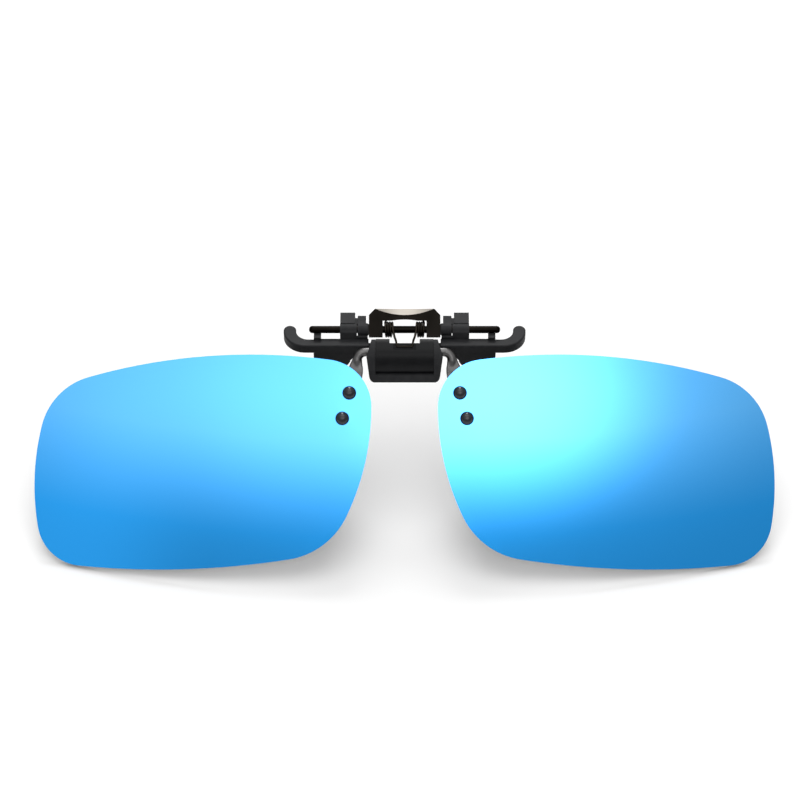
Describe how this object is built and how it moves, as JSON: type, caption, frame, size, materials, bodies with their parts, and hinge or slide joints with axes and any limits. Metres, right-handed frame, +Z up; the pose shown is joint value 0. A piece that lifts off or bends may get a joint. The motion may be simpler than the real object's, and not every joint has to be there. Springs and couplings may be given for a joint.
{
  "type": "clip-on flip-up lenses",
  "caption": "Rimless blue-mirrored lenses on a bridge wire that flips up, carried by a sprung clamp that grips the top of a pair of spectacles.",
  "frame": {"origin": "centre plane of the clamp, right below the pivot rod, on the plane where the top of a spectacle rim touches the rod's collars", "axes": "+X to the right as seen from the front, -Y towards the viewer, +Z up when worn"},
  "size_m": [0.129, 0.035, 0.0337],
  "materials": {
    "mirror_lens": "blue to cyan mirror coat on a tinted sheet",
    "gunmetal_wire": "satin gunmetal",
    "rivet_black": "gloss black",
    "black_nickel": "polished black nickel",
    "spring_steel": "dark spring steel",
    "soft_rubber": "matte black",
    "washer_strip": "thin natural plastic",
    "black_nylon": "fine grained matte black"
  },
  "bodies": {
    "front_clamp": {"front_jaw": "black_nylon", "hinge_cover": "black_nylon", "flip_spring": "spring_steel", "pivot_rod": "black_nickel", "torsion_spring": "spring_steel", "left_front_sleeve": "soft_rubber", "right_front_sleeve": "soft_rubber"},
    "rear_clamp": {"upper_lever": "black_nickel", "left_rear_jaw": "black_nylon", "right_rear_jaw": "black_nylon", "left_rear_sleeve": "soft_rubber", "right_rear_sleeve": "soft_rubber"},
    "lens_set": {"bridge_wire": "gunmetal_wire", "left_lens": "mirror_lens", "right_lens": "mirror_lens", "left_lens_pad": "washer_strip", "right_lens_pad": "washer_strip", "left_upper_rivet": "rivet_black", "left_lower_rivet": "rivet_black", "right_upper_rivet": "rivet_black", "right_lower_rivet": "rivet_black"}
  },
  "joints": [
    {"name": "flip", "type": "hinge", "parent": "front_clamp", "child": "lens_set", "pos_m": [0, -0.0041, -0.00027], "axis": [-1, 0, 0], "range_deg": [-46, 50]},
    {"name": "jaw", "type": "hinge", "parent": "front_clamp", "child": "rear_clamp", "pos_m": [0, 0, 0.0011], "axis": [1, 0, 0], "range_deg": [0, 26], "stiffness_Nm_per_rad": 0.05, "springref_deg": -34.38, "deforming": ["torsion_spring"]}
  ]
}
